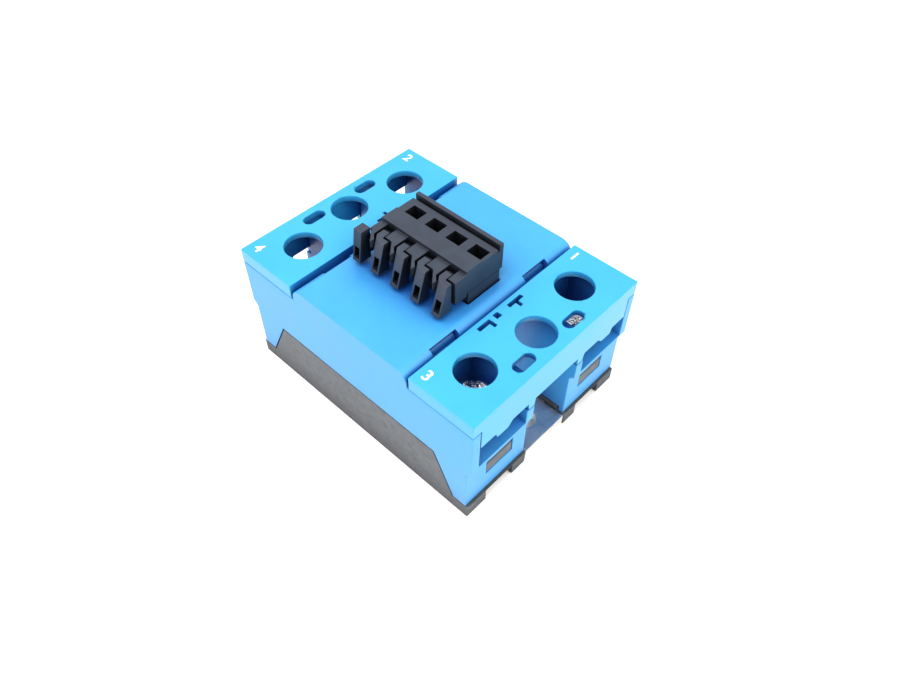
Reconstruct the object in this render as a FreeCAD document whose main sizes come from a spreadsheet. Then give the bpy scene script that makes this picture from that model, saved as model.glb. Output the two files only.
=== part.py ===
import FreeCAD, Part
import os
import Sketcher

# Dual-channel panel-mount solid state relay.
# Frame: origin at the centre of the mounting face, +X along the length, +Z up. Millimetres.

doc = FreeCAD.newDocument("solid_state_relay")

# ---------------------------------------------------------------- driving sizes

SIZES = {
    # whole relay
    "body_length": 59.0,
    "body_height": 28.5,
    "side_wall": 1.95,
    "end_setback": 1.0,
    "shelf_top": 15.0,
    "slip_gap": 0.15,
    # metal base plate
    "plate_thickness": 3.0,
    "tongue_setback": 0.7,
    "tongue_width": 11.5,
    "mount_spacing": 47.6,
    "mount_hole": 4.5,
    # plastic base frame
    "frame_flange": 0.5,
    "rim_end": 5.0,
    "rim_side": 4.05,
    "rim_height": 3.1,
    "floor_top": 4.2,
    "window_end_gap": 2.4,
    "window_side_gap": 0.5,
    "foot_gap_width": 7.3,
    "foot_gap_depth": 2.0,
    "panel_top": 12.75,
    "panel_foot_inset": 3.1,
    "panel_head_inset": 8.0,
    "snap_tongue": 1.2,
    "snap_width": 6.8,
    "snap_top": 12.0,
    "lug_bottom": 8.15,
    "lug_top": 11.5,
    "board_post_x": 8.0,
    "board_post_width": 2.4,
    # wells and terminal chambers of the cover
    "well_width": 12.0,
    "divider": 2.0,
    "chamber_width": 12.3,
    "chamber_floor": 15.3,
    "inner_wall": 3.0,
    "top_wall": 2.2,
    "deck_wall": 2.1,
    "crown_wall": 2.6,
    "cavity_past_hinge": 1.0,
    # hinged terminal covers
    "flap_thickness": 3.0,
    "flap_gap": 0.1,
    "flap_seam": 0.4,
    "skirt_thickness": 1.4,
    "skirt_drop": 4.8,
    "skirt_tooth": 1.2,
    "hinge_x": 12.2,
    "hinge_round": 2.5,
    "hinge_y": 12.15,
    "arm_width": 6.1,
    "arm_thickness": 1.2,
    "eye_radius": 1.25,
    "trunnion_radius": 0.9,
    "trunnion_length": 0.9,
    "pin_clearance": 0.05,
    # power terminals
    "terminal_x": 21.8,
    "terminal_inset": 5.4,
    "bar_thickness": 1.5,
    "bar_width": 9.0,
    "bar_reach": 4.2,
    "leg_inset": 2.2,
    "leg_offset": 1.2,
    "leg_width": 5.0,
    "leg_thickness": 1.2,
    "foot_reach": 1.8,
    "foot_thickness": 0.8,
    "nut_side": 8.0,
    "nut_thickness": 2.7,
    "thread_radius": 2.5,
    "washer_side": 8.6,
    "washer_thickness": 1.35,
    "head_radius": 4.2,
    "head_height": 3.5,
    "head_dome": 1.0,
    "screw_length": 7.4,
    "recess_width": 1.0,
    "recess_depth": 1.8,
    "screwdriver_hole": 3.73,
    "mount_access_hole": 3.71,
    "vent_x": 26.6,
    "vent_y": 6.7,
    "vent_width": 2.35,
    "vent_length": 4.9,
    # power circuit
    "substrate_length": 25.2,
    "substrate_width": 14.0,
    "substrate_thickness": 0.7,
    "substrate_y": 8.5,
    "chip_side": 7.0,
    "chip_thickness": 0.4,
    "chip_x": 4.8,
    # control board
    "board_end_gap": 0.8,
    "board_side_gap": 1.3,
    "board_bottom": 18.6,
    "board_thickness": 1.6,
    "opto_length": 8.6,
    "opto_width": 6.4,
    "opto_height": 2.9,
    "opto_y": 12.0,
    "resistor_x": 8.5,
    "resistor_radius": 1.1,
    "resistor_length": 6.0,
    # control connector
    "pole_count": 4,
    "pole_pitch": 5.08,
    "first_pole_x": -6.6,
    "pole_y": 1.65,
    "pin_side": 1.0,
    "pin_tail": 1.6,
    "pin_setback": 2.4,
    "header_y": 1.0,
    "header_end": 2.23,
    "header_width": 8.4,
    "header_wall": 0.75,
    "header_floor": 1.4,
    "header_rise": 2.5,
    "plug_seat_gap": 0.2,
    "plug_left_overhang": 1.05,
    "plug_right_overhang": 0.05,
    "plug_side_overhang": 0.6,
    "plug_height": 5.0,
    "band_step": 0.3,
    "band_gap": 0.25,
    "lip_width": 0.9,
    "lip_rise": 0.7,
    "groove_width": 0.6,
    "groove_depth": 0.9,
    "wire_hole_length": 3.2,
    "wire_hole_width": 2.6,
    "wire_hole_floor": 0.4,
    "contact_side": 2.0,
    "contact_height": 6.0,
    "contact_drop": 7.6,
    # release levers and the comb between them
    "comb_step": 0.4,
    "comb_foot": 0.7,
    "comb_depth": 2.8,
    "comb_bar": 2.95,
    "hook_thickness": 1.8,
    "hook_reach": 2.6,
    "hook_width": 1.3,
    "lever_gap": 0.5,
    "lever_width": 2.95,
    "lever_head": 1.6,
    "lever_swing_gap": 0.45,
    "lever_pin_radius": 0.55,
    "lever_pin_setback": 1.1,
    "lever_pin_depth": 2.1,
    "toe_clearance": 0.9,
    "toe_width": 2.0,
    "toe_thickness": 1.6,
    "toe_lean": 1.9,
    "toe_window": 1.2,
    "toe_window_height": 2.6,
    "toe_window_sill": 0.6,
}

sheet = doc.addObject("Spreadsheet::Sheet", "Sizes")
for row, (alias, number) in enumerate(SIZES.items(), start=1):
    sheet.set(f"A{row}", str(number))
    sheet.setAlias(f"A{row}", alias)
doc.recompute()


class Size:
    """A size that carries its value and the sheet formula that it comes from."""

    def __init__(self, value, formula):
        self.value = value
        self.formula = formula

    def __add__(self, other):
        other = as_size(other)
        return Size(self.value + other.value, f"({self.formula} + {other.formula})")

    def __sub__(self, other):
        other = as_size(other)
        return Size(self.value - other.value, f"({self.formula} - {other.formula})")

    def __mul__(self, other):
        other = as_size(other)
        return Size(self.value * other.value, f"({self.formula} * {other.formula})")

    def __truediv__(self, other):
        other = as_size(other)
        return Size(self.value / other.value, f"({self.formula} / {other.formula})")

    def __radd__(self, other):
        return as_size(other) + self

    def __rsub__(self, other):
        return as_size(other) - self

    def __rmul__(self, other):
        return as_size(other) * self

    def __neg__(self):
        return as_size(0) - self


def as_size(number):
    if isinstance(number, Size):
        return number
    return Size(float(number), f"({float(number)})")


class Dimensions:
    """The sheet's sizes as attributes, so that arithmetic on them stays a sheet formula."""


dim = Dimensions()
for alias in SIZES:
    setattr(dim, alias, Size(float(sheet.get(alias)), f"Sizes.{alias}"))

# ---------------------------------------------------------------- construction steps

PLANES = {"XY": "XY_Plane", "XZ": "XZ_Plane", "YZ": "YZ_Plane"}
AXIS_TURNS = {
    "x": FreeCAD.Rotation(FreeCAD.Vector(0, 1, 0), 90),
    "y": FreeCAD.Rotation(FreeCAD.Vector(1, 0, 0), -90),
    "z": FreeCAD.Rotation(),
}


def bind(thing, path, size):
    """Ties one property of an object to the sheet."""
    thing.setExpression(path, as_size(size).formula)


def place(thing, x, y, z):
    for path, size in zip("xyz", (x, y, z)):
        bind(thing, f"Placement.Base.{path}", size)


def block(name, centre_x, centre_y, bottom, length, width, height):
    """A box given by its centre in plan and its lowest face."""
    box = doc.addObject("Part::Box", name)
    bind(box, "Length", length)
    bind(box, "Width", width)
    bind(box, "Height", height)
    place(box, centre_x - length / 2, centre_y - width / 2, bottom)
    return box


def between(name, x_range, y_range, z_range):
    """A box given by its two faces along each axis, in either order."""
    lows = [low if low.value < high.value else high for low, high in map(sized, (x_range, y_range, z_range))]
    highs = [high if low.value < high.value else low for low, high in map(sized, (x_range, y_range, z_range))]
    box = doc.addObject("Part::Box", name)
    for side, low, high in zip(("Length", "Width", "Height"), lows, highs):
        bind(box, side, high - low)
    place(box, *lows)
    return box


def sized(pair):
    return as_size(pair[0]), as_size(pair[1])


def rod(name, x, y, z, radius, length, axis="z"):
    """A cylinder that starts at a point and runs along one axis."""
    cylinder = doc.addObject("Part::Cylinder", name)
    cylinder.Placement = FreeCAD.Placement(FreeCAD.Vector(), AXIS_TURNS[axis])
    bind(cylinder, "Radius", radius)
    bind(cylinder, "Height", length)
    place(cylinder, x, y, z)
    return cylinder


def fused(name, *pieces):
    fusion = doc.addObject("Part::MultiFuse", name)
    fusion.Shapes = list(pieces)
    return fusion


def cut(name, base, *tools):
    """One piece less a group of tools."""
    result = doc.addObject("Part::Cut", name)
    result.Base = base
    result.Tool = tools[0] if len(tools) == 1 else fused(f"{name}_tools", *tools)
    return result


def outline(body, name, plane, offset, points):
    """A closed sketch whose corners are each held by two dimensions from the sheet."""
    sketch = body.newObject("Sketcher::SketchObject", name)
    support = [part for part in body.Origin.OriginFeatures if part.Role == PLANES[plane]]
    sketch.AttachmentSupport = [(support[0], "")]
    sketch.MapMode = "FlatFace"
    bind(sketch, "AttachmentOffset.Base.z", offset)
    corners = [sized(point) for point in points]
    for start, end in zip(corners, corners[1:] + corners[:1]):
        first = FreeCAD.Vector(start[0].value, start[1].value, 0)
        second = FreeCAD.Vector(end[0].value, end[1].value, 0)
        sketch.addGeometry(Part.LineSegment(first, second))
    for index in range(len(corners)):
        after = (index + 1) % len(corners)
        sketch.addConstraint(Sketcher.Constraint("Coincident", index, 2, after, 1))
    for index, corner in enumerate(corners):
        for kind, size in zip(("DistanceX", "DistanceY"), corner):
            number = sketch.addConstraint(Sketcher.Constraint(kind, -1, 1, index, 1, size.value))
            bind(sketch, f"Constraints[{number}]", size)
    return sketch


def prism(name, plane, start, length, points):
    """A body padded from an outline; start is measured along the plane's normal."""
    body = doc.addObject("PartDesign::Body", name)
    sketch = outline(body, f"{name}_sketch", plane, start, points)
    pad = body.newObject("PartDesign::Pad", f"{name}_pad")
    pad.Profile = sketch
    bind(pad, "Length", length)
    return body


def turned(name, points):
    """A body turned about its own Z axis from half a section in the XZ plane."""
    body = doc.addObject("PartDesign::Body", name)
    sketch = outline(body, f"{name}_section", "XZ", 0, points)
    turn = body.newObject("PartDesign::Revolution", f"{name}_turn")
    turn.Profile = sketch
    turn.ReferenceAxis = (sketch, ["V_Axis"])
    turn.Angle = 360
    return body


def pocket(body, name, plane, start, depth, points):
    """Cuts an outline out of a body, downwards from the sketch."""
    sketch = outline(body, f"{name}_sketch", plane, start, points)
    hollow = body.newObject("PartDesign::Pocket", name)
    hollow.Profile = sketch
    bind(hollow, "Length", depth)
    return hollow


def rectangle(centre_x, centre_y, length, width):
    low_x, high_x = centre_x - length / 2, centre_x + length / 2
    low_y, high_y = centre_y - width / 2, centre_y + width / 2
    return [(low_x, low_y), (high_x, low_y), (high_x, high_y), (low_x, high_y)]


def mirrored(points):
    """Closes a right-hand half outline with its mirror image."""
    return list(points) + [(-as_size(x), y) for x, y in reversed(points)]


nodes = []


def node(thing, label):
    """Names a finished sub-part."""
    thing.Label = label
    nodes.append(thing)
    return thing


CORNERS = [(1, -1), (1, 1), (-1, 1), (-1, -1)]
HALVES = [1, -1]

# ---------------------------------------------------------------- shared places

half_length = dim.body_length / 2
chamber_inner_side = dim.well_width / 2 + dim.divider
inner_side = chamber_inner_side + dim.chamber_width
half_width = inner_side + dim.side_wall
body_width = 2 * half_width
lower_end = half_length - dim.end_setback
deck = dim.body_height - dim.flap_thickness - dim.flap_gap
hinge_z = dim.body_height - dim.hinge_round
frame_length = 2 * (lower_end + dim.frame_flange)
plate_length = frame_length - 2 * dim.rim_end
plate_width = body_width - 2 * dim.rim_side
cavity_half_length = dim.hinge_x + dim.cavity_past_hinge
crown_half_length = dim.hinge_x - dim.crown_wall
crown_start = deck - dim.deck_wall
chamber_inner_end = cavity_half_length + dim.inner_wall
flap_inner_edge = dim.hinge_x + dim.hinge_round + dim.flap_seam
terminal_y = chamber_inner_side + dim.terminal_inset
frame_end = lower_end - dim.snap_tongue - 0.1
mount_x = dim.mount_spacing / 2
board_top = dim.board_bottom + dim.board_thickness
bar_top = dim.chamber_floor + dim.bar_thickness
washer_bottom = bar_top + dim.pin_clearance
head_bottom = washer_bottom + dim.washer_thickness + dim.pin_clearance
header_length = (SIZES["pole_count"] - 1) * dim.pole_pitch + 2 * dim.header_end
header_x = dim.first_pole_x + (SIZES["pole_count"] - 1) * dim.pole_pitch / 2
header_top = dim.body_height + dim.header_rise
THROUGH = 1.0


# ---------------------------------------------------------------- base plate
# Nickel-plated metal heat spreader: a broad middle that carries the chips and a
# narrow tongue at each end with the mounting hole.

def build_base_plate():
    plate = prism("plate_blank", "XY", 0, dim.plate_thickness, mirrored([
        (plate_length / 2, -plate_width / 2),
        (plate_length / 2, -dim.tongue_width / 2),
        (frame_length / 2 - dim.tongue_setback, -dim.tongue_width / 2),
        (frame_length / 2 - dim.tongue_setback, dim.tongue_width / 2),
        (plate_length / 2, dim.tongue_width / 2),
        (plate_length / 2, plate_width / 2),
    ]))
    holes = [
        rod(f"mount_hole_{side}", side * mount_x, 0, -THROUGH, dim.mount_hole / 2,
            dim.plate_thickness + 2 * THROUGH)
        for side in HALVES
    ]
    node(cut("base_plate_drilled", plate, *holes), "base_plate")


# ---------------------------------------------------------------- base frame
# Grey moulded frame: a rim round the plate with four feet at each end, a floor that
# laps over the plate, two side panels, four snap tongues and four board posts.

def build_base_frame():
    rim = block("frame_rim", 0, 0, 0, frame_length, body_width, dim.rim_height)
    floor = block("frame_floor", 0, 0, dim.plate_thickness, 2 * frame_end, 2 * inner_side - 0.3,
                  dim.floor_top - dim.plate_thickness)
    pieces = [rim, floor]
    panel = mirrored([
        (lower_end - dim.panel_foot_inset, dim.plate_thickness),
        (lower_end - dim.panel_head_inset, dim.panel_top),
    ])
    panel_thickness = dim.side_wall - dim.slip_gap
    pieces.append(prism("front_panel", "XZ", half_width - panel_thickness, panel_thickness, panel))
    pieces.append(prism("back_panel", "XZ", -half_width, panel_thickness, panel))
    for number, (side_x, side_y) in enumerate(CORNERS, start=1):
        tongue_x = side_x * (frame_end - dim.snap_tongue / 2)
        pieces.append(block(f"snap_tongue_{number}", tongue_x, side_y * terminal_y,
                            dim.plate_thickness, dim.snap_tongue, dim.snap_width - 0.4,
                            dim.snap_top - dim.plate_thickness))
        lug = [
            (side_x * (frame_end - 0.1), dim.lug_bottom),
            (side_x * (lower_end - 0.1), dim.lug_bottom),
            (side_x * (lower_end - 0.1), dim.lug_top - 0.9),
            (side_x * (frame_end - 0.1), dim.lug_top),
        ]
        pieces.append(prism(f"snap_lug_{number}", "XZ", -side_y * terminal_y - dim.snap_width / 2,
                            dim.snap_width, lug))
        post_y = side_y * (inner_side - dim.board_post_width)
        pieces.append(block(f"board_post_{number}", side_x * dim.board_post_x, post_y, dim.plate_thickness,
                            dim.board_post_width, dim.board_post_width,
                            dim.board_bottom - dim.plate_thickness))
    tools = [
        block("plate_seat", 0, 0, -THROUGH, plate_length + 2 * dim.slip_gap,
              plate_width + 2 * dim.slip_gap, dim.plate_thickness + THROUGH),
        block("chip_window", 0, 0, -THROUGH, dim.substrate_length + 2 * dim.window_end_gap,
              2 * dim.substrate_y + dim.substrate_width + 2 * dim.window_side_gap,
              dim.floor_top + 2 * THROUGH),
    ]
    notch_width = dim.tongue_width + 2 * dim.slip_gap
    for side in HALVES:
        tools.append(between(f"frame_notch_{side}", (side * mount_x, side * (half_length + THROUGH)),
                             (-notch_width / 2, notch_width / 2), (-THROUGH, dim.floor_top + THROUGH)))
        tools.append(rod(f"frame_notch_end_{side}", side * mount_x, 0, -THROUGH, notch_width / 2,
                         dim.floor_top + 2 * THROUGH))
    for number, (side_x, side_y) in enumerate(CORNERS, start=1):
        tools.append(between(f"foot_gap_{number}",
                             (side_x * (frame_length / 2 - dim.foot_gap_depth), side_x * half_length),
                             (side_y * terminal_y - dim.foot_gap_width / 2,
                              side_y * terminal_y + dim.foot_gap_width / 2),
                             (-THROUGH, dim.plate_thickness)))
    node(cut("base_frame_cut", fused("base_frame_whole", *pieces), *tools), "base_frame")


# ---------------------------------------------------------------- housing cover
# Blue moulded housing: a block with a raised, round-shouldered middle, an open chamber
# for each terminal, a well over each mounting hole and a hollow for the circuit.

def build_housing_cover():
    shell = prism("cover_block", "XZ", -half_width, body_width, mirrored([
        (lower_end, dim.rim_height + dim.slip_gap),
        (lower_end, dim.shelf_top - dim.end_setback),
        (half_length, dim.shelf_top),
        (half_length, deck),
    ]))
    crown = block("cover_crown", 0, 0, deck - 2 * dim.hinge_round, 2 * dim.hinge_x, body_width,
                  dim.body_height - deck + 2 * dim.hinge_round)
    shoulders = [
        rod(f"cover_shoulder_{side}", side * dim.hinge_x, -half_width, hinge_z, dim.hinge_round,
            body_width, "y")
        for side in HALVES
    ]
    tools = cover_hollow_tools()
    for side in HALVES:
        tools.extend(mount_well_tools(side))
    for number, (side_x, side_y) in enumerate(CORNERS, start=1):
        tools.extend(terminal_chamber_tools(number, side_x, side_y))
        tools.extend(hinge_tools(number, side_x, side_y))
    hollowed = cut("housing_hollowed", fused("housing_whole", shell, crown, *shoulders), *tools)
    posts = [
        between(f"hold_down_{number}",
                (side_x * (dim.board_post_x - dim.board_post_width / 2),
                 side_x * (dim.board_post_x + dim.board_post_width / 2)),
                (side_y * (inner_side - 1.5 * dim.board_post_width), side_y * (inner_side + 0.2)),
                (board_top + dim.pin_clearance, dim.body_height - dim.top_wall + 0.2))
        for number, (side_x, side_y) in enumerate(CORNERS, start=1)
    ]
    node(fused("housing_cover_moulding", hollowed, *posts), "housing_cover")


def cover_hollow_tools():
    """The frame's seat, the panel cut-outs, the circuit hollow and the header opening."""
    gap = dim.slip_gap
    panel_cut = mirrored([
        (lower_end - dim.panel_foot_inset + 2 * gap, dim.plate_thickness - gap),
        (lower_end - dim.panel_head_inset + gap, dim.panel_top + gap),
    ])
    ceiling = dim.body_height - dim.top_wall
    return [
        block("frame_seat", 0, 0, 0, 2 * (frame_end + gap), 2 * inner_side, dim.floor_top + gap),
        prism("front_panel_cut", "XZ", inner_side, dim.side_wall + THROUGH, panel_cut),
        prism("back_panel_cut", "XZ", -half_width - THROUGH, dim.side_wall + THROUGH, panel_cut),
        block("circuit_hollow", 0, 0, dim.floor_top, 2 * cavity_half_length, 2 * inner_side,
              crown_start - dim.floor_top),
        block("crown_hollow", 0, 0, crown_start - THROUGH, 2 * crown_half_length, 2 * inner_side,
              ceiling - crown_start + THROUGH),
        block("header_opening", header_x, dim.header_y, crown_start - THROUGH,
              header_length + 2 * gap, dim.header_width + 2 * gap,
              dim.body_height - crown_start + 2 * THROUGH),
    ]


def mount_well_tools(side):
    """A round-ended well, open at the end face, for a mounting screw and its washer."""
    return [
        rod(f"well_round_{side}", side * mount_x, 0, 0, dim.well_width / 2, deck + THROUGH),
        between(f"well_slot_{side}", (side * mount_x, side * (half_length + THROUGH)),
                (-dim.well_width / 2, dim.well_width / 2), (0, deck + THROUGH)),
        between(f"skirt_seat_{side}",
                (side * (half_length - dim.skirt_thickness - dim.slip_gap), side * (half_length + THROUGH)),
                (-chamber_inner_side - 0.1, chamber_inner_side + 0.1),
                (deck - dim.skirt_drop - 2, deck + THROUGH)),
    ]


def terminal_chamber_tools(number, side_x, side_y):
    """The chamber, the nut pocket below it, the slot for the bar and the snap window."""
    x, y = side_x * dim.terminal_x, side_y * terminal_y
    gap = dim.slip_gap
    nut_bottom = dim.chamber_floor - dim.nut_thickness - 0.2
    return [
        between(f"chamber_{number}", (side_x * chamber_inner_end, side_x * (half_length + THROUGH)),
                (side_y * chamber_inner_side, side_y * inner_side), (dim.chamber_floor, deck + THROUGH)),
        block(f"nut_pocket_{number}", x, y, nut_bottom, dim.nut_side + gap, dim.nut_side + gap,
              dim.chamber_floor - nut_bottom + 0.1),
        rod(f"screw_relief_{number}", x, y, head_bottom - dim.screw_length - 0.5,
            dim.thread_radius + 0.4, dim.screw_length),
        between(f"bar_slot_{number}",
                (side_x * (cavity_half_length - 0.2), side_x * (chamber_inner_end + 0.2)),
                (y - dim.bar_width / 2 - gap, y + dim.bar_width / 2 + gap),
                (dim.chamber_floor, bar_top + gap)),
        between(f"snap_slot_{number}",
                (side_x * (frame_end - dim.snap_tongue - gap), side_x * (frame_end + gap)),
                (y - dim.snap_width / 2, y + dim.snap_width / 2), (dim.floor_top, dim.snap_top + gap)),
        between(f"snap_window_{number}", (side_x * frame_end, side_x * half_length),
                (y - dim.snap_width / 2 - 0.1, y + dim.snap_width / 2 + 0.1),
                (dim.lug_bottom - gap, dim.lug_top + gap)),
    ]


def hinge_tools(number, side_x, side_y):
    """The slot in the round shoulder for one hinge arm, its eye and its two trunnions."""
    width = dim.arm_width + 2 * dim.slip_gap
    y = side_y * dim.hinge_y
    low = hinge_z - dim.arm_thickness - dim.slip_gap
    axis_x = side_x * dim.hinge_x
    sweep = [
        (axis_x, low),
        (side_x * (flap_inner_edge + 1.6), low),
        (side_x * (flap_inner_edge + 1.6), dim.body_height + 0.4),
        (side_x * (dim.hinge_x + 1.4), dim.body_height + 0.4),
        (axis_x, hinge_z),
    ]
    pin_length = dim.arm_width + 2 * dim.trunnion_length + 4 * dim.pin_clearance
    return [
        prism(f"arm_sweep_{number}", "XZ", -y - width / 2, width, sweep),
        rod(f"eye_clearance_{number}", axis_x, y - width / 2, hinge_z, dim.eye_radius + dim.slip_gap,
            width, "y"),
        rod(f"trunnion_bore_{number}", axis_x, y - pin_length / 2, hinge_z,
            dim.trunnion_radius + dim.pin_clearance, pin_length, "y"),
    ]


# ---------------------------------------------------------------- terminal covers
# Hinged finger guards: a thick plate over one pair of terminals, a toothed skirt that
# shuts the wire entries, and two arms with trunnions that turn in the shoulder.

def build_terminal_cover(side, label):
    plate_bottom = dim.body_height - dim.flap_thickness
    plate = between(f"guard_plate_{side}", (side * flap_inner_edge, side * half_length),
                    (-half_width, half_width), (plate_bottom, dim.body_height))
    skirt_start = half_length - dim.skirt_thickness if side > 0 else -half_length
    edge = deck - dim.skirt_drop
    tooth = edge - dim.skirt_tooth
    small_tooth = edge - 1.8
    skirt = prism(f"guard_skirt_{side}", "YZ", skirt_start, dim.skirt_thickness, mirrored([
        (dim.well_width / 2 - 0.1, edge),
        (dim.well_width / 2 + 0.1, small_tooth),
        (chamber_inner_side - 0.4, small_tooth),
        (chamber_inner_side - 0.1, edge),
        (terminal_y - 1.4, edge),
        (terminal_y - 0.2, tooth),
        (terminal_y + 2.5, tooth),
        (terminal_y + 3.0, edge + 0.1),
        (inner_side - dim.slip_gap, edge + 0.1),
        (inner_side - dim.slip_gap, plate_bottom + 0.2),
    ]))
    pieces = [plate, skirt]
    for hand in HALVES:
        y = hand * dim.hinge_y
        pieces.append(between(f"hinge_arm_{side}_{hand}",
                              (side * dim.hinge_x, side * (flap_inner_edge + 1.4)),
                              (y - dim.arm_width / 2, y + dim.arm_width / 2),
                              (hinge_z - dim.arm_thickness, hinge_z)))
        pieces.append(rod(f"hinge_eye_{side}_{hand}", side * dim.hinge_x, y - dim.arm_width / 2, hinge_z,
                          dim.eye_radius, dim.arm_width, "y"))
        pin_length = dim.arm_width + 2 * dim.trunnion_length
        pieces.append(rod(f"hinge_trunnion_{side}_{hand}", side * dim.hinge_x, y - pin_length / 2, hinge_z,
                          dim.trunnion_radius, pin_length, "y"))
    low = plate_bottom - THROUGH
    depth = dim.flap_thickness + 2 * THROUGH
    tools = [rod(f"mount_access_{side}", side * mount_x, 0, low, dim.mount_access_hole, depth)]
    for hand in HALVES:
        tools.append(rod(f"driver_hole_{side}_{hand}", side * dim.terminal_x, hand * terminal_y, low,
                         dim.screwdriver_hole, depth))
        tools.extend(vent_tools(side, hand, low, depth))
    tools.extend(key_slot_tools(side, low, depth))
    node(cut(f"guard_cut_{side}", fused(f"guard_whole_{side}", *pieces), *tools), label)


def vent_tools(side, hand, low, depth):
    """An oblong vent with round ends, beside the mounting access hole."""
    x, y = side * dim.vent_x, hand * dim.vent_y
    reach = (dim.vent_length - dim.vent_width) / 2
    ends = [
        rod(f"vent_end_{side}_{hand}_{tip}", x, y + tip * reach, low, dim.vent_width / 2, depth)
        for tip in HALVES
    ]
    return ends + [block(f"vent_{side}_{hand}", x, y, low, dim.vent_width, 2 * reach, depth)]


def key_slot_tools(side, low, depth):
    """Small slots near the inner edge that take a clip-on accessory."""
    row_x = flap_inner_edge + 1.3
    slots = [
        (row_x, -5.0, 0.8, 3.15),
        (row_x + 0.95, -3.75, 1.2, 0.7),
        (row_x, -1.7, 1.2, 1.25),
        (row_x, 3.15, 0.8, 3.7),
        (row_x + 0.95, 3.15, 1.2, 0.7),
    ]
    return [
        block(f"key_slot_{side}_{number}", side * x, side * as_size(y), low, as_size(length),
              as_size(width), depth)
        for number, (x, y, length, width) in enumerate(slots)
    ]


# ---------------------------------------------------------------- power terminals
# Each terminal: a tinned copper bar whose leg stands on the ceramic, a square nut in a
# pocket below it, and a screw with a square clamp washer above it.

def build_terminal(number, side_x, side_y):
    x, y = side_x * dim.terminal_x, side_y * terminal_y
    leg_x = cavity_half_length - dim.leg_inset
    leg_y = terminal_y - dim.leg_offset
    leg_inner = side_x * (leg_x - dim.leg_thickness / 2)
    leg_outer = side_x * (leg_x + dim.leg_thickness / 2)
    leg_sides = (side_y * (leg_y - dim.leg_width / 2), side_y * (leg_y + dim.leg_width / 2))
    substrate_top = dim.plate_thickness + dim.substrate_thickness
    bar = between(f"bar_flat_{number}", (leg_inner, x + side_x * dim.bar_reach),
                  (y - dim.bar_width / 2, y + dim.bar_width / 2), (dim.chamber_floor, bar_top))
    leg = between(f"bar_leg_{number}", (leg_inner, leg_outer), leg_sides, (substrate_top, bar_top))
    foot = between(f"bar_foot_{number}", (leg_outer, leg_inner - side_x * dim.foot_reach),
                   leg_sides,
                   (substrate_top, substrate_top + dim.foot_thickness))
    hole = rod(f"bar_hole_{number}", x, y, dim.chamber_floor - THROUGH, dim.thread_radius + 0.2,
               dim.bar_thickness + 2 * THROUGH)
    node(cut(f"bar_{number}", fused(f"bar_whole_{number}", bar, leg, foot), hole), f"power_terminal_{number}")

    nut = block(f"nut_blank_{number}", x, y, dim.chamber_floor - dim.nut_thickness - 0.2,
                dim.nut_side, dim.nut_side, dim.nut_thickness)
    thread = rod(f"nut_thread_{number}", x, y, dim.chamber_floor - 2 * dim.nut_thickness,
                 dim.thread_radius, 3 * dim.nut_thickness)
    node(cut(f"nut_{number}", nut, thread), f"terminal_nut_{number}")

    washer = block(f"washer_blank_{number}", x, y, washer_bottom, dim.washer_side, dim.washer_side,
                   dim.washer_thickness)
    washer_hole = rod(f"washer_hole_{number}", x, y, washer_bottom - THROUGH, dim.thread_radius + 0.1,
                      dim.washer_thickness + 2 * THROUGH)
    node(cut(f"washer_{number}", washer, washer_hole), f"clamp_washer_{number}")

    build_terminal_screw(number, x, y)


def build_terminal_screw(number, x, y):
    shank = dim.thread_radius - dim.pin_clearance
    screw = turned(f"screw_{number}", [
        (0, -dim.screw_length),
        (shank, -dim.screw_length),
        (shank, 0),
        (dim.head_radius, 0),
        (dim.head_radius, dim.head_height - dim.head_dome),
        (dim.head_radius - dim.head_dome, dim.head_height),
        (0, dim.head_height),
    ])
    reach = 1.3 * dim.head_radius
    pocket(screw, f"recess_along_{number}", "XY", dim.head_height, dim.recess_depth,
           rectangle(as_size(0), as_size(0), reach, dim.recess_width))
    pocket(screw, f"recess_across_{number}", "XY", dim.head_height, dim.recess_depth,
           rectangle(as_size(0), as_size(0), dim.recess_width, reach))
    place(screw, x, y, head_bottom)
    node(screw, f"terminal_screw_{number}")


# ---------------------------------------------------------------- power circuit
# Two ceramic substrates soldered to the plate, each with a pair of thyristor chips.

def build_power_circuit():
    substrate_top = dim.plate_thickness + dim.substrate_thickness
    for number, side_y in enumerate((-1, 1), start=1):
        substrate = block(f"ceramic_{number}", as_size(0), side_y * dim.substrate_y, dim.plate_thickness,
                          dim.substrate_length, dim.substrate_width, dim.substrate_thickness)
        node(substrate, f"ceramic_substrate_{number}")
    for number, (side_x, side_y) in enumerate(CORNERS, start=1):
        chip = block(f"chip_{number}", side_x * dim.chip_x, side_y * dim.substrate_y, substrate_top,
                     dim.chip_side, dim.chip_side, dim.chip_thickness)
        node(chip, f"thyristor_chip_{number}")


# ---------------------------------------------------------------- control board
# Glass-fibre board on the frame's posts, with two opto-couplers, four gate resistors
# and the connector header.

def pole_x(index):
    return dim.first_pole_x + index * dim.pole_pitch


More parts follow.
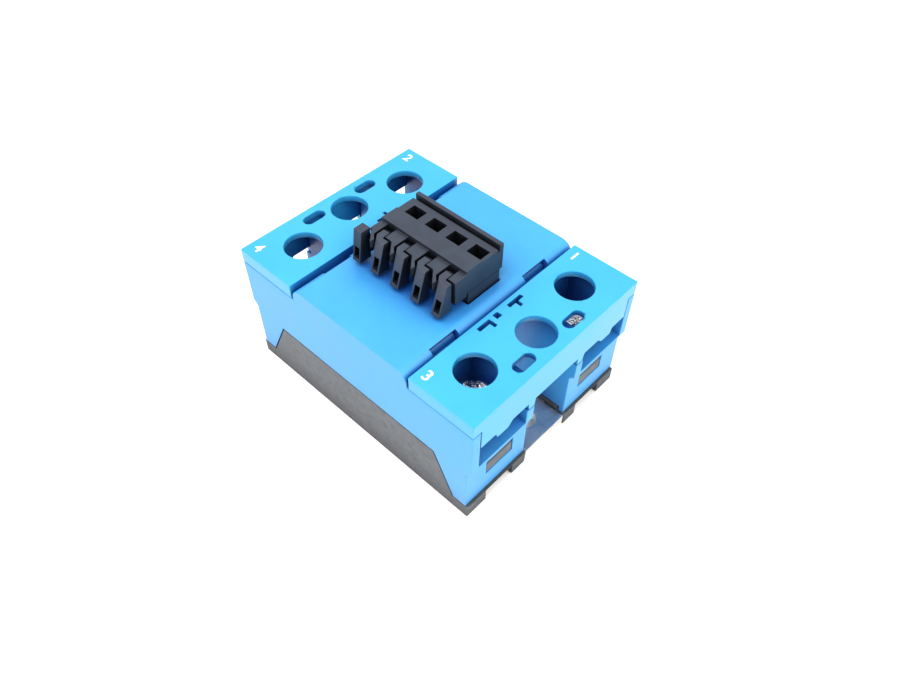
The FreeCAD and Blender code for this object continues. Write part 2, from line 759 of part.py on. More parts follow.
def build_control_board():
    board = block("board_blank", as_size(0), as_size(0), dim.board_bottom,
                  2 * (cavity_half_length - dim.board_end_gap), 2 * (inner_side - dim.board_side_gap),
                  dim.board_thickness)
    holes = [
        block(f"board_hole_{index}", pole_x(index), dim.pole_y, dim.board_bottom - THROUGH,
              dim.pin_side + 0.1, dim.pin_side + 0.1, dim.board_thickness + 2 * THROUGH)
        for index in range(SIZES["pole_count"])
    ]
    node(cut("board", board, *holes), "control_board")
    for number, side_y in enumerate((-1, 1), start=1):
        coupler = block(f"opto_blank_{number}", as_size(0), side_y * dim.opto_y, board_top, dim.opto_length,
                        dim.opto_width, dim.opto_height)
        notch = rod(f"opto_notch_{number}", dim.opto_length / 2, side_y * dim.opto_y,
                    board_top + dim.opto_height / 2, 0.8, dim.opto_height)
        node(cut(f"opto_{number}", coupler, notch), f"opto_coupler_{number}")
    for number, (side_x, side_y) in enumerate(CORNERS, start=1):
        resistor = rod(f"resistor_{number}", side_x * dim.resistor_x,
                       side_y * dim.opto_y - dim.resistor_length / 2, board_top + dim.resistor_radius,
                       dim.resistor_radius, dim.resistor_length, "y")
        node(resistor, f"gate_resistor_{number}")


def build_header():
    outer = block("header_outer", header_x, dim.header_y, board_top, header_length, dim.header_width,
                  header_top - board_top)
    tools = [block("header_inner", header_x, dim.header_y, board_top + dim.header_floor,
                   header_length - 2 * dim.header_wall, dim.header_width - 2 * dim.header_wall,
                   header_top - board_top)]
    for index in range(SIZES["pole_count"]):
        tools.append(block(f"header_bore_{index}", pole_x(index), dim.pole_y, board_top - THROUGH,
                           dim.pin_side, dim.pin_side, dim.header_floor + 2 * THROUGH))
        pin_bottom = dim.board_bottom - dim.pin_tail
        pin = block(f"pin_{index}", pole_x(index), dim.pole_y, pin_bottom, dim.pin_side, dim.pin_side,
                    header_top - dim.pin_setback - pin_bottom)
        node(pin, f"header_pin_{index + 1}")
    node(cut("header", outer, *tools), "header_housing")


# ---------------------------------------------------------------- plug
# Black pull-off plug: a block with four square wire entries, a raised band in front of
# them, a grooved lip behind, and a comb in front that carries the release levers.

plug_low = header_x - header_length / 2 - dim.plug_left_overhang
plug_high = header_x + header_length / 2 + dim.plug_right_overhang
plug_front = dim.header_y - dim.header_width / 2 - dim.plug_side_overhang
plug_back = dim.header_y + dim.header_width / 2 + dim.plug_side_overhang
plug_bottom = header_top + dim.plug_seat_gap
plug_top = plug_bottom + dim.plug_height
wire_hole_bottom = plug_bottom + dim.wire_hole_floor
contact_bottom = wire_hole_bottom - dim.contact_drop
comb_top = plug_top - dim.comb_step
comb_bottom = plug_bottom - dim.comb_foot
bar_front = plug_front - dim.comb_depth
toe_bottom = dim.body_height + dim.toe_clearance
lever_pin_y = plug_front - dim.lever_pin_setback
lever_pin_z = comb_top - dim.lever_pin_depth


def slot_x(index):
    """The right-hand face of the comb bar on the left of one lever."""
    return dim.first_pole_x - dim.wire_hole_length / 2 + index * dim.pole_pitch


def build_plug_housing():
    gap = dim.slip_gap
    insert_bottom = board_top + dim.header_floor + gap
    band_back = dim.pole_y - dim.wire_hole_width / 2 - dim.band_gap
    lip_front = plug_back - dim.lip_width
    pieces = [
        between("plug_block", (plug_low, plug_high), (plug_front, plug_back), (plug_bottom, plug_top)),
        between("plug_band", (plug_low, plug_high), (plug_front, band_back),
                (plug_bottom, plug_top + dim.band_step)),
        between("plug_lip", (plug_low, plug_high), (lip_front, plug_back),
                (plug_bottom, plug_top + dim.lip_rise)),
        block("plug_insert", header_x, dim.header_y, insert_bottom,
              header_length - 2 * dim.header_wall - 2 * gap, dim.header_width - 2 * dim.header_wall - 2 * gap,
              plug_bottom - insert_bottom + THROUGH),
    ]
    pieces.extend(comb_pieces())
    tools = [between("plug_groove", (plug_low - THROUGH, plug_high + THROUGH),
                     (lip_front - dim.groove_width, lip_front),
                     (plug_top - dim.groove_depth, plug_top + THROUGH))]
    for index in range(SIZES["pole_count"]):
        x = pole_x(index)
        seat = dim.contact_side + 2 * dim.pin_clearance
        entry = dim.pin_side + 2 * gap
        tools.append(block(f"wire_entry_{index}", x, dim.pole_y, wire_hole_bottom, dim.wire_hole_length,
                           dim.wire_hole_width, plug_top - wire_hole_bottom + THROUGH))
        tools.append(block(f"contact_seat_{index}", x, dim.pole_y, contact_bottom, seat, seat,
                           wire_hole_bottom - contact_bottom + THROUGH))
        tools.append(block(f"pin_entry_{index}", x, dim.pole_y, insert_bottom - THROUGH, entry, entry,
                           contact_bottom - insert_bottom + 2 * THROUGH))
        start, end = lever_pin_span(index)
        tools.append(rod(f"lever_bore_{index}", start - dim.pin_clearance, lever_pin_y, lever_pin_z,
                         dim.lever_pin_radius + dim.pin_clearance, end - start + 2 * dim.pin_clearance, "x"))
    node(cut("plug", fused("plug_whole", *pieces), *tools), "plug_housing")


def comb_pieces():
    """Bars between the levers, each with a slanting hook, and a free post at the left end."""
    root = plug_front + dim.slip_gap
    pieces = []
    for index in range(SIZES["pole_count"]):
        right = slot_x(index)
        left = plug_low if index == 0 else right - dim.comb_bar
        pieces.append(between(f"comb_bar_{index}", (left, right), (bar_front, root), (comb_bottom, comb_top)))
        tip_x = right + dim.hook_reach - dim.hook_thickness + dim.slip_gap
        tip_y = bar_front - dim.hook_reach
        hook = [
            (right - dim.hook_width, bar_front + dim.slip_gap),
            (right - dim.hook_width, bar_front),
            (tip_x, tip_y),
            (tip_x + dim.slip_gap, tip_y + dim.hook_width * 0.7),
            (right, bar_front - dim.hook_width / 2),
            (right, bar_front + dim.slip_gap),
        ]
        pieces.append(prism(f"comb_hook_{index}", "XY", comb_top - dim.hook_thickness, dim.hook_thickness,
                            hook))
    pieces.append(between("comb_bar_end", (slot_x(SIZES["pole_count"]) - dim.comb_bar, plug_high),
                          (bar_front, root), (comb_bottom, comb_top)))
    post_left = plug_low - dim.toe_width * 0.8
    post_front = bar_front - dim.lever_head
    post_top = comb_top + dim.comb_step
    post = [
        (post_front + dim.toe_thickness - dim.toe_lean, toe_bottom),
        (post_front - dim.toe_lean, toe_bottom),
        (post_front - dim.toe_lean / 2, post_top),
        (post_front - dim.toe_lean / 2 + dim.toe_thickness, post_top),
    ]
    pieces.append(cut("end_post_cut", prism("end_post", "YZ", post_left, dim.toe_width, post),
                      block("end_post_window", post_left + dim.toe_width / 2, post_front,
                            toe_bottom + dim.toe_window_sill, dim.toe_window, 4 * dim.toe_thickness,
                            dim.toe_window_height)))
    pieces.append(between("end_post_web", (plug_low, post_left + dim.toe_width),
                          (post_front, bar_front + dim.slip_gap),
                          (comb_bottom, comb_bottom + dim.toe_window_height)))
    return pieces


def lever_pin_span(index):
    """Where one lever's pin starts and ends, in the comb bars on either side."""
    reach = dim.lever_pin_radius
    return slot_x(index) - reach, slot_x(index + 1) - dim.comb_bar + reach


def build_plug_contact(index):
    contact = block(f"contact_blank_{index}", pole_x(index), dim.pole_y, contact_bottom, dim.contact_side,
                    dim.contact_side, dim.contact_height)
    mouth = dim.pin_side + 2 * dim.pin_clearance
    bore = block(f"contact_bore_{index}", pole_x(index), dim.pole_y, contact_bottom - THROUGH, mouth, mouth,
                 dim.contact_height + 2 * THROUGH)
    node(cut(f"contact_{index}", contact, bore), f"plug_contact_{index + 1}")


# ---------------------------------------------------------------- release levers
# One lever for each pole: a head that dips under the band, pivoted between two comb
# bars, and a slanting windowed toe that is pulled outwards to open the clamp.

def build_release_lever(index):
    left = slot_x(index) + dim.lever_gap
    right = left + dim.lever_width
    neck_right = slot_x(index + 1) - dim.comb_bar - dim.slip_gap
    toe_left = right - dim.toe_width
    front = bar_front - dim.lever_head
    toe_front = front - dim.toe_lean
    eye = dim.lever_pin_radius + 0.35
    lever = prism(f"lever_{index}", "YZ", left, dim.lever_width, [
        (front, comb_top),
        (lever_pin_y - eye / 2, comb_top),
        (lever_pin_y + eye * 0.7, lever_pin_z + 1.4 * eye),
        (lever_pin_y + eye, lever_pin_z),
        (lever_pin_y + eye * 0.7, lever_pin_z - eye),
        (lever_pin_y - eye, lever_pin_z - eye),
        (bar_front - dim.lever_swing_gap, comb_top - dim.toe_thickness),
        (toe_front + dim.toe_thickness, toe_bottom),
        (toe_front, toe_bottom),
    ])
    low = toe_bottom - THROUGH
    height = comb_top - toe_bottom + 2 * THROUGH
    far = bar_front - dim.lever_head - 2 * dim.toe_lean
    tools = [
        between(f"lever_neck_cut_{index}", (neck_right, right + THROUGH),
                (bar_front - dim.lever_swing_gap, plug_front), (low, low + height)),
        prism(f"lever_corner_cut_{index}", "XY", low, height, [
            (left - THROUGH, bar_front - dim.lever_swing_gap),
            (left, bar_front - dim.lever_swing_gap),
            (toe_left, front),
            (toe_left, far),
            (left - THROUGH, far),
        ]),
        block(f"lever_window_{index}", right - dim.toe_width / 2, front, toe_bottom + dim.toe_window_sill,
              dim.toe_window, 4 * dim.toe_thickness, dim.toe_window_height),
        between(f"lever_toe_cut_{index}", (left - THROUGH, toe_left), (bar_front - dim.slip_gap, far),
                (low, comb_top - dim.toe_thickness)),
    ]
    pin_start, pin_end = lever_pin_span(index)
    pin = rod(f"lever_pin_{index}", pin_start, lever_pin_y, lever_pin_z, dim.lever_pin_radius,
              pin_end - pin_start, "x")
    node(fused(f"lever_whole_{index}", cut(f"lever_cut_{index}", lever, *tools), pin),
         f"release_lever_{index + 1}")


# ---------------------------------------------------------------- assembly and export

build_base_plate()
build_base_frame()
build_housing_cover()
build_terminal_cover(1, "line_terminal_cover")
build_terminal_cover(-1, "load_terminal_cover")
for corner_number, (corner_x, corner_y) in enumerate(CORNERS, start=1):
    build_terminal(corner_number, corner_x, corner_y)
build_power_circuit()
build_control_board()
build_header()
build_plug_housing()
for pole in range(SIZES["pole_count"]):
    build_plug_contact(pole)
    build_release_lever(pole)

doc.recompute()

for thing in doc.Objects:
    if "Invalid" in thing.State or "Error" in thing.State:
        raise RuntimeError(f"{thing.Name} did not build: {thing.State}")

os.makedirs("parts", exist_ok=True)
for part in nodes:
    if part.Shape.isNull() or not part.Shape.isValid():
        raise RuntimeError(f"{part.Label} has no valid shape")
for part in nodes:
    part.Shape.exportStep(f"parts/{part.Label}.step")
    print(part.Label, len(part.Shape.Solids), round(part.Shape.Volume, 2))
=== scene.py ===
import math

import bmesh
import bpy
from mathutils import Matrix, Vector
from mathutils.geometry import intersect_point_line


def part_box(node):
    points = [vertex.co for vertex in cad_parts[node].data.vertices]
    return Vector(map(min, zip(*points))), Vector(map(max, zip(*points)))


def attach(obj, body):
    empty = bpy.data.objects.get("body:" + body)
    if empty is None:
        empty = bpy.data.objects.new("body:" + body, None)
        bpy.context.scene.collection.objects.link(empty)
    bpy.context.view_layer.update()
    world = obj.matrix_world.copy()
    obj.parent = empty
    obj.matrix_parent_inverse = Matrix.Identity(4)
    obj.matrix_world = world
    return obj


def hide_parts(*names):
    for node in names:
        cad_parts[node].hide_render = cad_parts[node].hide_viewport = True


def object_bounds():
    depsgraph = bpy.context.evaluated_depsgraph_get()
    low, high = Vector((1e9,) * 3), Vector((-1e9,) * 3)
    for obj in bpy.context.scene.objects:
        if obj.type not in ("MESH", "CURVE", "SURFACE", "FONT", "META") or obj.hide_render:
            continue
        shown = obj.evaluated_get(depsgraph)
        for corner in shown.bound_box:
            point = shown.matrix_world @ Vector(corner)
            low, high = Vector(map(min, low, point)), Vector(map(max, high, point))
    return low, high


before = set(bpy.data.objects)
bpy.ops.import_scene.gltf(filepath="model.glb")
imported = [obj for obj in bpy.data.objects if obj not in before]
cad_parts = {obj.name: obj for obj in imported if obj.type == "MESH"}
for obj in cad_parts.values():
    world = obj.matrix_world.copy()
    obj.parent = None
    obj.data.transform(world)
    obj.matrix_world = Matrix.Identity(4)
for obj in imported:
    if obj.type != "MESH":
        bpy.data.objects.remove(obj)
cad_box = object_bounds()


# Base plate. A flat of metal that carries the power chips and lies on the heat sink, with a
# tongue at each end, flush with the feet, for the mounting screw. Punched, blasted, plated.

def linear(hex_colour, alpha=1.0):
    """An sRGB hex colour as the linear RGBA that a shader takes."""
    channels = []
    for start in (1, 3, 5):
        share = int(hex_colour[start:start + 2], 16) / 255
        channels.append(share / 12.92 if share <= 0.04045 else ((share + 0.055) / 1.055) ** 2.4)
    return (*channels, alpha)


def add_node(material, kind, settings, inputs):
    """Adds a shader node, applies its settings, and fills or links its inputs."""
    made = material.node_tree.nodes.new(kind)
    for name, value in settings.items():
        setattr(made, name, value)
    for name, value in inputs.items():
        if isinstance(value, bpy.types.NodeSocket):
            material.node_tree.links.new(value, made.inputs[name])
        else:
            made.inputs[name].default_value = value
    return made


def finish_named(name):
    """An empty material and its output node."""
    material = bpy.data.materials.new(name)
    material.use_nodes = True
    material.node_tree.nodes.clear()
    return material, material.node_tree.nodes.new("ShaderNodeOutputMaterial")


def run_length(edge, sharp):
    """Length of the nearly straight or gently curved run of sharp edges that an edge lies on."""
    total = edge.calc_length()
    for start in edge.verts:
        corner, last = start, edge
        while total < 0.004:
            heading = (corner.co - last.other_vert(corner).co).normalized()
            onward = [
                other for other in corner.link_edges
                if other in sharp and other is not last
                and (other.other_vert(corner).co - corner.co).normalized().dot(heading) > 0.82
            ]
            if len(onward) != 1 or onward[0] is edge:
                break
            last = onward[0]
            corner = last.other_vert(corner)
            total += last.calc_length()
    return total


def side_room(edge):
    """Distance from an edge, across its faces, to the nearest edge that it doesn't touch."""
    start, end = (corner.co for corner in edge.verts)
    along = (end - start).normalized()
    nearest = 1.0
    for other in {other for face in edge.link_faces for other in face.edges}:
        if set(other.verts) & set(edge.verts):
            continue
        first, last = (corner.co for corner in other.verts)
        for share in (0.05, 0.5, 0.95):
            point = start.lerp(end, share)
            reach = intersect_point_line(point, first, last)[1]
            gap = first.lerp(last, min(1, max(0, reach))) - point
            if (gap - along * gap.dot(along)).length > 0.3 * gap.length:
                nearest = min(nearest, gap.length)
    return nearest


def hollowed(mesh, lower, upper):
    """A mesh less the block between two corners."""
    corners = [
        (x, y, z) for x in (lower[0], upper[0]) for y in (lower[1], upper[1])
        for z in (lower[2], upper[2])
    ]
    sides = [(0, 1, 3, 2), (4, 6, 7, 5), (0, 4, 5, 1), (2, 3, 7, 6), (0, 2, 6, 4), (1, 5, 7, 3)]
    block = bpy.data.meshes.new("hollow_block")
    block.from_pydata(corners, [], sides)
    whole = bpy.data.objects.new("whole", mesh)
    tool = bpy.data.objects.new("hollow_tool", block)
    bpy.context.collection.objects.link(whole)
    bpy.context.collection.objects.link(tool)
    cut = whole.modifiers.new("hollow", "BOOLEAN")
    cut.object = tool
    bpy.context.view_layer.update()
    result = bpy.data.meshes.new_from_object(whole.evaluated_get(bpy.context.evaluated_depsgraph_get()))
    bpy.data.objects.remove(whole)
    bpy.data.objects.remove(tool)
    return result


def eased_part(name, body, radius, material, hollow=None):
    """A CAD part with its sharp edges eased by up to a radius in metres; it stands for that part."""
    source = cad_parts[name].data
    plain = bpy.data.meshes.new(f"{name}_plain")
    plain.from_pydata([v.co[:] for v in source.vertices], [], [p.vertices[:] for p in source.polygons])
    if hollow:
        plain = hollowed(plain, *hollow)
    edit = bmesh.new()
    edit.from_mesh(plain)
    bmesh.ops.remove_doubles(edit, verts=edit.verts, dist=2e-6)
    bmesh.ops.dissolve_degenerate(edit, edges=edit.edges, dist=2e-6)
    bmesh.ops.dissolve_limit(edit, angle_limit=math.radians(0.5), verts=edit.verts, edges=edit.edges)
    weight = edit.edges.layers.float.new("bevel_weight_edge")
    sharp = {
        edge for edge in edit.edges
        if len(edge.link_faces) == 2 and edge.calc_face_angle(0) > math.radians(28)
    }
    for edge in sharp:
        edge[weight] = min(1.0, run_length(edge, sharp) / (3.2 * radius), 0.42 * side_room(edge) / radius)
    edit.to_mesh(plain)
    edit.free()
    part = bpy.data.objects.new(f"{name}_finish", plain)
    bpy.context.collection.objects.link(part)
    ease = part.modifiers.new("eased_edges", "BEVEL")
    ease.limit_method = "WEIGHT"
    ease.width = radius
    ease.segments = 2
    ease.use_clamp_overlap = False
    bpy.context.view_layer.update()
    eased = bpy.data.meshes.new_from_object(part.evaluated_get(bpy.context.evaluated_depsgraph_get()))
    part.modifiers.clear()
    part.data = eased
    eased.polygons.foreach_set("use_smooth", [True] * len(eased.polygons))
    eased.set_sharp_from_angle(angle=math.radians(40))
    level = part.modifiers.new("level_faces", "WEIGHTED_NORMAL")
    level.keep_sharp = True
    bpy.context.view_layer.update()
    eased = bpy.data.meshes.new_from_object(part.evaluated_get(bpy.context.evaluated_depsgraph_get()))
    part.modifiers.clear()
    part.data = eased
    eased.materials.clear()
    eased.materials.append(material)
    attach(part, body)
    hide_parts(name)
    return part


def plated_metal(name, colour, stained, roughness, pit_size, pit_depth):
    """Plated metal: the plating keeps the pits of the blasted blank, which break the reflection up."""
    material, output = finish_named(name)
    place = add_node(material, "ShaderNodeTexCoord", {}, {})
    pits = add_node(material, "ShaderNodeTexVoronoi", {"feature": "SMOOTH_F1"}, {
        "Vector": place.outputs["Object"], "Scale": 1 / pit_size, "Smoothness": 0.4})
    cloud = add_node(material, "ShaderNodeTexNoise", {}, {
        "Vector": place.outputs["Object"], "Scale": 1 / 0.007, "Detail": 5.0})
    dulled = add_node(material, "ShaderNodeMapRange", {}, {
        "Value": cloud.outputs["Fac"], "From Min": 0.35, "From Max": 0.7,
        "To Min": roughness, "To Max": roughness + 0.12})
    tint = add_node(material, "ShaderNodeValToRGB", {}, {"Fac": cloud.outputs["Fac"]})
    tint.color_ramp.elements[0].position = 0.35
    tint.color_ramp.elements[0].color = linear(stained)
    tint.color_ramp.elements[1].position = 0.6
    tint.color_ramp.elements[1].color = linear(colour)
    bump = add_node(material, "ShaderNodeBump", {}, {
        "Height": pits.outputs["Distance"], "Strength": 0.7, "Distance": pit_depth})
    metal = add_node(material, "ShaderNodeBsdfPrincipled", {}, {
        "Base Color": tint.outputs["Color"], "Metallic": 1.0,
        "Roughness": dulled.outputs["Result"], "Normal": bump.outputs["Normal"]})
    material.node_tree.links.new(metal.outputs["BSDF"], output.inputs["Surface"])
    return material


blasted_nickel = plated_metal("nickel_plate_on_blasted_metal", "#E6E4DF", "#CBC9C4", 0.27, 0.0006, 0.00006)
eased_plate = eased_part("base_plate", "relay", 0.00012, blasted_nickel)
tongue_reach = max(corner.co.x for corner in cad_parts["base_plate"].data.vertices)
tongue_edge = 0.0003
tongue_growth = 0.0006
for corner in eased_plate.data.vertices:
    if abs(corner.co.x) > tongue_reach - tongue_edge:
        corner.co.x += math.copysign(tongue_growth, corner.co.x)


# Base frame. One moulding in grey glass-filled nylon: rim, feet, side panels and snaps.
# It comes out of the tool matt, with pale fibre swirls where the melt flowed.

def moulded_plastic(name, colour, shade, painted_recess_shade, swirl_size, grain_size, grain_depth, roughness, specular):
    """Moulded plastic: fine tool grain, faint swirls of the flow, and painted shade that darkens the colour
    in recesses.
    """
    material, output = finish_named(name)
    place = add_node(material, "ShaderNodeTexCoord", {}, {})
    swirl = add_node(material, "ShaderNodeTexNoise", {}, {
        "Vector": place.outputs["Object"], "Scale": 1 / swirl_size, "Detail": 6.0,
        "Roughness": 0.6, "Distortion": 0.5})
    grain = add_node(material, "ShaderNodeTexNoise", {}, {
        "Vector": place.outputs["Object"], "Scale": 1 / grain_size, "Detail": 2.0})
    tint = add_node(material, "ShaderNodeValToRGB", {}, {"Fac": swirl.outputs["Fac"]})
    tint.color_ramp.elements[0].position = 0.3
    tint.color_ramp.elements[0].color = linear(shade)
    tint.color_ramp.elements[1].position = 0.62
    tint.color_ramp.elements[1].color = linear(colour)
    gloss = add_node(material, "ShaderNodeMapRange", {}, {
        "Value": swirl.outputs["Fac"], "From Min": 0.3, "From Max": 0.7,
        "To Min": roughness - 0.05, "To Max": roughness + 0.06})
    bump = add_node(material, "ShaderNodeBump", {}, {
        "Height": grain.outputs["Fac"], "Strength": 0.6, "Distance": grain_depth})
    # Painted shade: ambient occlusion darkens the base colour toward the recess colour in recesses, creases
    # and gaps.
    occlusion_for_painted_shade = add_node(material, "ShaderNodeAmbientOcclusion", {"samples": 8}, {"Distance": 0.0095})
    opened = add_node(material, "ShaderNodeMapRange", {}, {
        "Value": occlusion_for_painted_shade.outputs["AO"], "From Min": 0.28, "From Max": 0.92})
    painted_shade_colour = add_node(material, "ShaderNodeMix", {"data_type": "RGBA"}, {
        0: opened.outputs["Result"], 6: linear(painted_recess_shade), 7: tint.outputs["Color"]})
    plastic = add_node(material, "ShaderNodeBsdfPrincipled", {}, {
        "Base Color": painted_shade_colour.outputs[2], "Roughness": gloss.outputs["Result"],
        "IOR": 1.5, "Specular IOR Level": specular, "Normal": bump.outputs["Normal"]})
    material.node_tree.links.new(plastic.outputs["BSDF"], output.inputs["Surface"])
    return material


# Each moulded_plastic call gives the plastic's colour, its swirl tone, then the painted shade colour for
# recesses.
grey_nylon = moulded_plastic("grey_glass_filled_nylon", "#5F6666", "#4A4F50", "#222526",
                             0.0016, 0.0003, 0.00002, 0.62, 0.4)
eased_part("base_frame", "relay", 0.0002, grey_nylon)


# Housing cover. The blue moulding that shuts the relay in: opaque polycarbonate blend,
# thin walled, with a fine even grain. It snaps down over the frame's four lugs.

cover_blue = moulded_plastic("blue_polycarbonate_moulded", "#3899D1", "#3394CD", "#134C98",
                             0.009, 0.00022, 0.000008, 0.42, 0.5)
eased_part("housing_cover", "relay", 0.0002, cover_blue)


# Terminal covers. Two hinged finger guards in the same blue, moulded hollow underneath and
# in a smoother tool, so they are a little glossier. The numbers are pad printed in white.

guard_blue = moulded_plastic("blue_polycarbonate_smooth", "#34A2CF", "#2F9DCB", "#0F4A90",
                             0.012, 0.0003, 0.000005, 0.34, 0.5)
eased_part("line_terminal_cover", "line_cover", 0.00018, guard_blue,
           hollow=((0.0169, -0.0206, 0.0250), (0.0279, 0.0206, 0.0271)))
eased_part("load_terminal_cover", "load_cover", 0.00018, guard_blue,
           hollow=((-0.0279, -0.0206, 0.0250), (-0.0169, 0.0206, 0.0271)))


def white_ink():
    """Pad-printing ink: a thin white coat, slightly uneven in cover."""
    material, output = finish_named("white_pad_print_ink")
    place = add_node(material, "ShaderNodeTexCoord", {}, {})
    cover = add_node(material, "ShaderNodeTexNoise", {}, {
        "Vector": place.outputs["Object"], "Scale": 1 / 0.0004, "Detail": 3.0})
    tint = add_node(material, "ShaderNodeValToRGB", {}, {"Fac": cover.outputs["Fac"]})
    tint.color_ramp.elements[0].position = 0.3
    tint.color_ramp.elements[0].color = linear("#DCEFF8")
    tint.color_ramp.elements[1].position = 0.5
    tint.color_ramp.elements[1].color = linear("#F4F8FA")
    ink = add_node(material, "ShaderNodeBsdfPrincipled", {}, {
        "Base Color": tint.outputs["Color"], "Roughness": 0.5, "IOR": 1.5})
    material.node_tree.links.new(ink.outputs["BSDF"], output.inputs["Surface"])
    return material


print_ink = white_ink()
guard_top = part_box("line_terminal_cover")[1].z
for number, x, y, body in (("1", 0.0163, 0.0186, "line_cover"), ("2", -0.0279, 0.0186, "load_cover"),
                           ("3", 0.0163, -0.0207, "line_cover"), ("4", -0.0279, -0.0207, "load_cover")):
    curve = bpy.data.curves.new(f"terminal_number_{number}", "FONT")
    curve.body = number
    curve.size = 0.0031
    curve.offset = 0.00004
    written = bpy.data.objects.new("number_source", curve)
    bpy.context.collection.objects.link(written)
    bpy.context.view_layer.update()
    mesh = bpy.data.meshes.new_from_object(written)
    bpy.data.objects.remove(written)
    mesh.materials.clear()
    mesh.materials.append(print_ink)
    mark = bpy.data.objects.new(f"terminal_number_{number}", mesh)
    mark.location = (x, y, guard_top + 0.00001)
    bpy.context.collection.objects.link(mark)
    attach(mark, body)


# Power terminals. Tinned copper bars, zinc-plated square nuts and clamp washers, and M5
# screws with a bright nickel finish over a forged, slightly grainy head.

tinned_copper = plated_metal("bright_tin_on_copper", "#D9D8D2", "#B9B7AE", 0.22, 0.0007, 0.00002)
zinc_steel = plated_metal("zinc_plated_steel", "#D3D5D4", "#B4B7B8", 0.24, 0.0004, 0.00003)
bright_steel = plated_metal("nickel_plated_forged_steel", "#F4F6F8", "#D9DCE0", 0.08, 0.0003, 0.00014)
for number in range(1, 5):
    eased_part(f"power_terminal_{number}", "relay", 0.0001, tinned_copper)
    eased_part(f"terminal_nut_{number}", "relay", 0.00012, zinc_steel)
    eased_part(f"clamp_washer_{number}", f"washer_{number}", 0.00012, zinc_steel)
    eased_part(f"terminal_screw_{number}", f"screw_{number}", 0.00008, bright_steel)


# Power circuit. White alumina tiles soldered to the plate and polished silicon chips on
# them. Both are hidden by the cover, so the CAD parts keep their shape.

alumina = moulded_plastic("fired_alumina", "#F0EEE8", "#E4E1DA", "#C9C5BC",
                          0.004, 0.0001, 0.000004, 0.6, 0.4)
silicon = moulded_plastic("polished_silicon", "#565B66", "#454A55", "#30343C",
                          0.003, 0.0002, 0.000002, 0.2, 0.9)


def shade_part(name, material):
    """Gives a CAD part its finish and leaves its shape as it is."""
    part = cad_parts[name]
    part.data.materials.clear()
    part.data.materials.append(material)


for number in (1, 2):
    shade_part(f"ceramic_substrate_{number}", alumina)
for number in range(1, 5):
    shade_part(f"thyristor_chip_{number}", silicon)


# Control board. Green solder-masked glass fibre on the frame's posts, with black moulded
# opto-couplers and tan lacquered resistors.

solder_mask = moulded_plastic("green_solder_mask", "#1E6B3C", "#175730", "#0F3B20",
                              0.002, 0.0004, 0.00001, 0.3, 0.5)
epoxy_black = moulded_plastic("black_moulded_epoxy", "#2B2B2C", "#232324", "#151515",
                              0.002, 0.0002, 0.00001, 0.55, 0.4)
tan_lacquer = moulded_plastic("tan_resistor_lacquer", "#C9A36B", "#B8925C", "#7D6038",
                              0.002, 0.0003, 0.00001, 0.4, 0.5)
shade_part("control_board", solder_mask)
for number in (1, 2):
    shade_part(f"opto_coupler_{number}", epoxy_black)
for number in range(1, 5):
    shade_part(f"gate_resistor_{number}", tan_lacquer)


# Control connector. Socket, pull-off plug and release levers in satin black nylon, with
# tinned pins and brass contacts. The levers and the end post have deep, windowed toes.

black_nylon = moulded_plastic("black_nylon_moulded", "#2C3541", "#242C37", "#07090C",
                              0.0035, 0.00018, 0.00001, 0.4, 0.5)
lever_nylon = moulded_plastic("black_nylon_levers", "#303946", "#28313C", "#080A0D",
                              0.003, 0.00018, 0.00001, 0.4, 0.5)
contact_brass = plated_metal("bright_brass", "#E0C27A", "#C7A85F", 0.2, 0.0006, 0.00002)


def deepen_toe(part, foot, head, foot_depth, head_depth, right=1.0):
    """Moves the back face of a toe, which runs between two (y, z) places, further back."""
    face_reach = 0.00025
    rise = head[1] - foot[1]
    for corner in part.data.vertices:
        share = (corner.co.z - foot[1]) / rise
        back = foot[0] + share * (head[0] - foot[0])
        if -0.05 < share < 1.02 and abs(corner.co.y - back) < face_reach and corner.co.x < right:
            corner.co.y += foot_depth + share * (head_depth - foot_depth)


toe_foot = (-0.0085, 0.0294)
post_head = (-0.00755, 0.0362)
lever_head = (-0.00705, 0.0342)
post_width = 0.0021
eased_part("header_housing", "relay", 0.0001, black_nylon)
eased_plug = eased_part("plug_housing", "plug", 0.0001, black_nylon)
post_right = min(corner.co.x for corner in eased_plug.data.vertices) + post_width
deepen_toe(eased_plug, toe_foot, post_head, 0.0012, 0.0006, post_right)
for number in range(1, 5):
    eased_lever = eased_part(f"release_lever_{number}", f"lever_{number}", 0.0001, lever_nylon)
    deepen_toe(eased_lever, toe_foot, lever_head, 0.0013, 0.0)
for number in range(1, 5):
    shade_part(f"header_pin_{number}", tinned_copper)
    shade_part(f"plug_contact_{number}", contact_brass)


# Table and light. A white table that runs out of sight, one soft lamp high above the near
# side and one at the right, in a pale room.

def white_table():
    """Matt white table, a little uneven."""
    material, output = finish_named("matt_white_table")
    place = add_node(material, "ShaderNodeTexCoord", {}, {})
    cloud = add_node(material, "ShaderNodeTexNoise", {}, {
        "Vector": place.outputs["Object"], "Scale": 3.0, "Detail": 2.0})
    tint = add_node(material, "ShaderNodeValToRGB", {}, {"Fac": cloud.outputs["Fac"]})
    tint.color_ramp.elements[0].color = linear("#FCF9F4")
    tint.color_ramp.elements[1].color = linear("#FEFCF8")
    paint = add_node(material, "ShaderNodeBsdfPrincipled", {}, {
        "Base Color": tint.outputs["Color"], "Roughness": 0.9, "Specular IOR Level": 0.1})
    material.node_tree.links.new(paint.outputs["BSDF"], output.inputs["Surface"])
    return material


table_mesh = bpy.data.meshes.new("table")
reach = 4.0
table_mesh.from_pydata([(-reach, -reach, 0), (reach, -reach, 0), (reach, reach, 0), (-reach, reach, 0)],
                       [], [(0, 1, 2, 3)])
table_mesh.materials.append(white_table())
table = bpy.data.objects.new("table", table_mesh)
table.location.z = cad_box[0][2] - 0.00002
bpy.context.collection.objects.link(table)

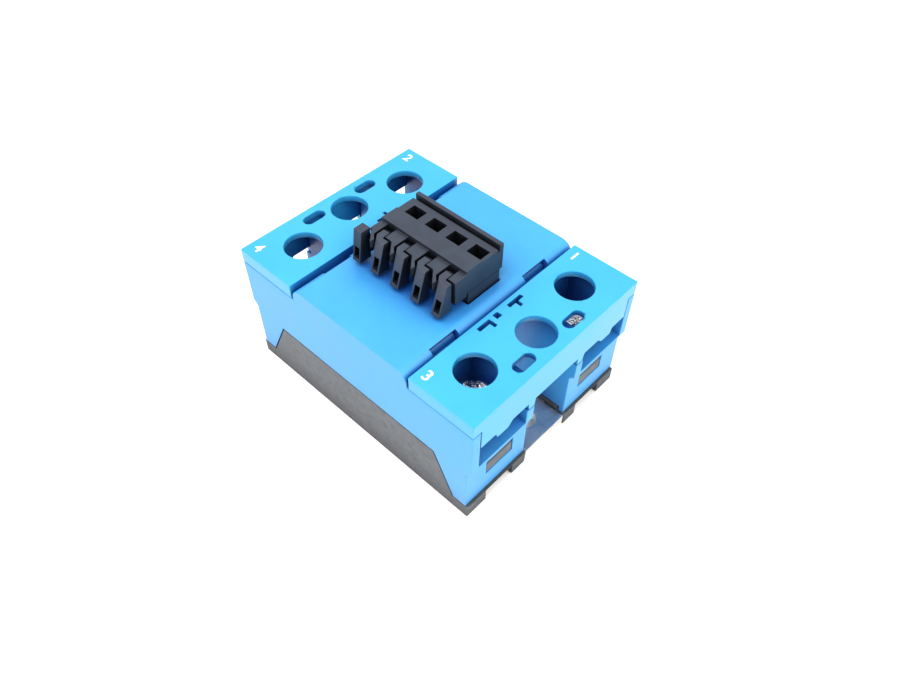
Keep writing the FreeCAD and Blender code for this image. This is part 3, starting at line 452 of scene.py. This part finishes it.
room = bpy.data.worlds.new("white_room")
bpy.context.scene.world = room
room.use_nodes = True
room.node_tree.nodes.clear()
aim = add_node(room, "ShaderNodeTexCoord", {}, {})
split = add_node(room, "ShaderNodeSeparateXYZ", {}, {"Vector": aim.outputs["Generated"]})
wall_to_ceiling = add_node(room, "ShaderNodeValToRGB", {}, {"Fac": split.outputs["Z"]})
wall_to_ceiling.color_ramp.elements[0].color = linear("#F8F3FF")
wall_to_ceiling.color_ramp.elements[1].color = linear("#FDFFFF")
wall_to_ceiling.color_ramp.elements[1].position = 0.75
sky = add_node(room, "ShaderNodeBackground", {}, {"Color": wall_to_ceiling.outputs["Color"], "Strength": 1.0})
add_node(room, "ShaderNodeOutputWorld", {}, {"Surface": sky.outputs["Background"]})


def soft_lamp(name, place, power, size, colour):
    """A square soft box aimed at the middle of the relay."""
    lamp = bpy.data.lights.new(name, "AREA")
    lamp.energy = power
    lamp.color = linear(colour)[:3]
    lamp.size = size
    box = bpy.data.objects.new(name, lamp)
    box.location = place
    box.rotation_euler = (Vector((0, 0, 0.015)) - Vector(place)).to_track_quat("-Z", "Y").to_euler()
    bpy.context.collection.objects.link(box)


soft_lamp("soft_box_left", (-0.05, -0.19, 0.40), 1.55, 0.3, "#FFF0FF")
soft_lamp("soft_box_right", (0.37, 0.02, 0.42), 2.0, 0.4, "#FCFFFF")


# Camera. It stands above the near right corner and looks down at the relay.

azimuth = math.radians(42.68)
elevation = math.radians(48.81)
roll = math.radians(0.75)
back = Vector((math.sin(azimuth) * math.cos(elevation), -math.cos(azimuth) * math.cos(elevation),
               math.sin(elevation)))
across = Vector((0, 0, 1)).cross(back).normalized()
upward = back.cross(across)
right = math.cos(roll) * across + math.sin(roll) * upward
top = -math.sin(roll) * across + math.cos(roll) * upward
lens = bpy.data.cameras.new("camera")
lens.sensor_width = 36.0
lens.lens = 30.632
lens.clip_start = 0.01
camera = bpy.data.objects.new("camera", lens)
bpy.context.collection.objects.link(camera)
stand = right * 0.00283 + top * 0.00538 + back * 0.16261
turn = Matrix((right, top, back)).transposed().to_4x4()
camera.matrix_world = Matrix.Translation(stand) @ turn
bpy.context.scene.camera = camera

bpy.context.scene.view_settings.view_transform = "Standard"
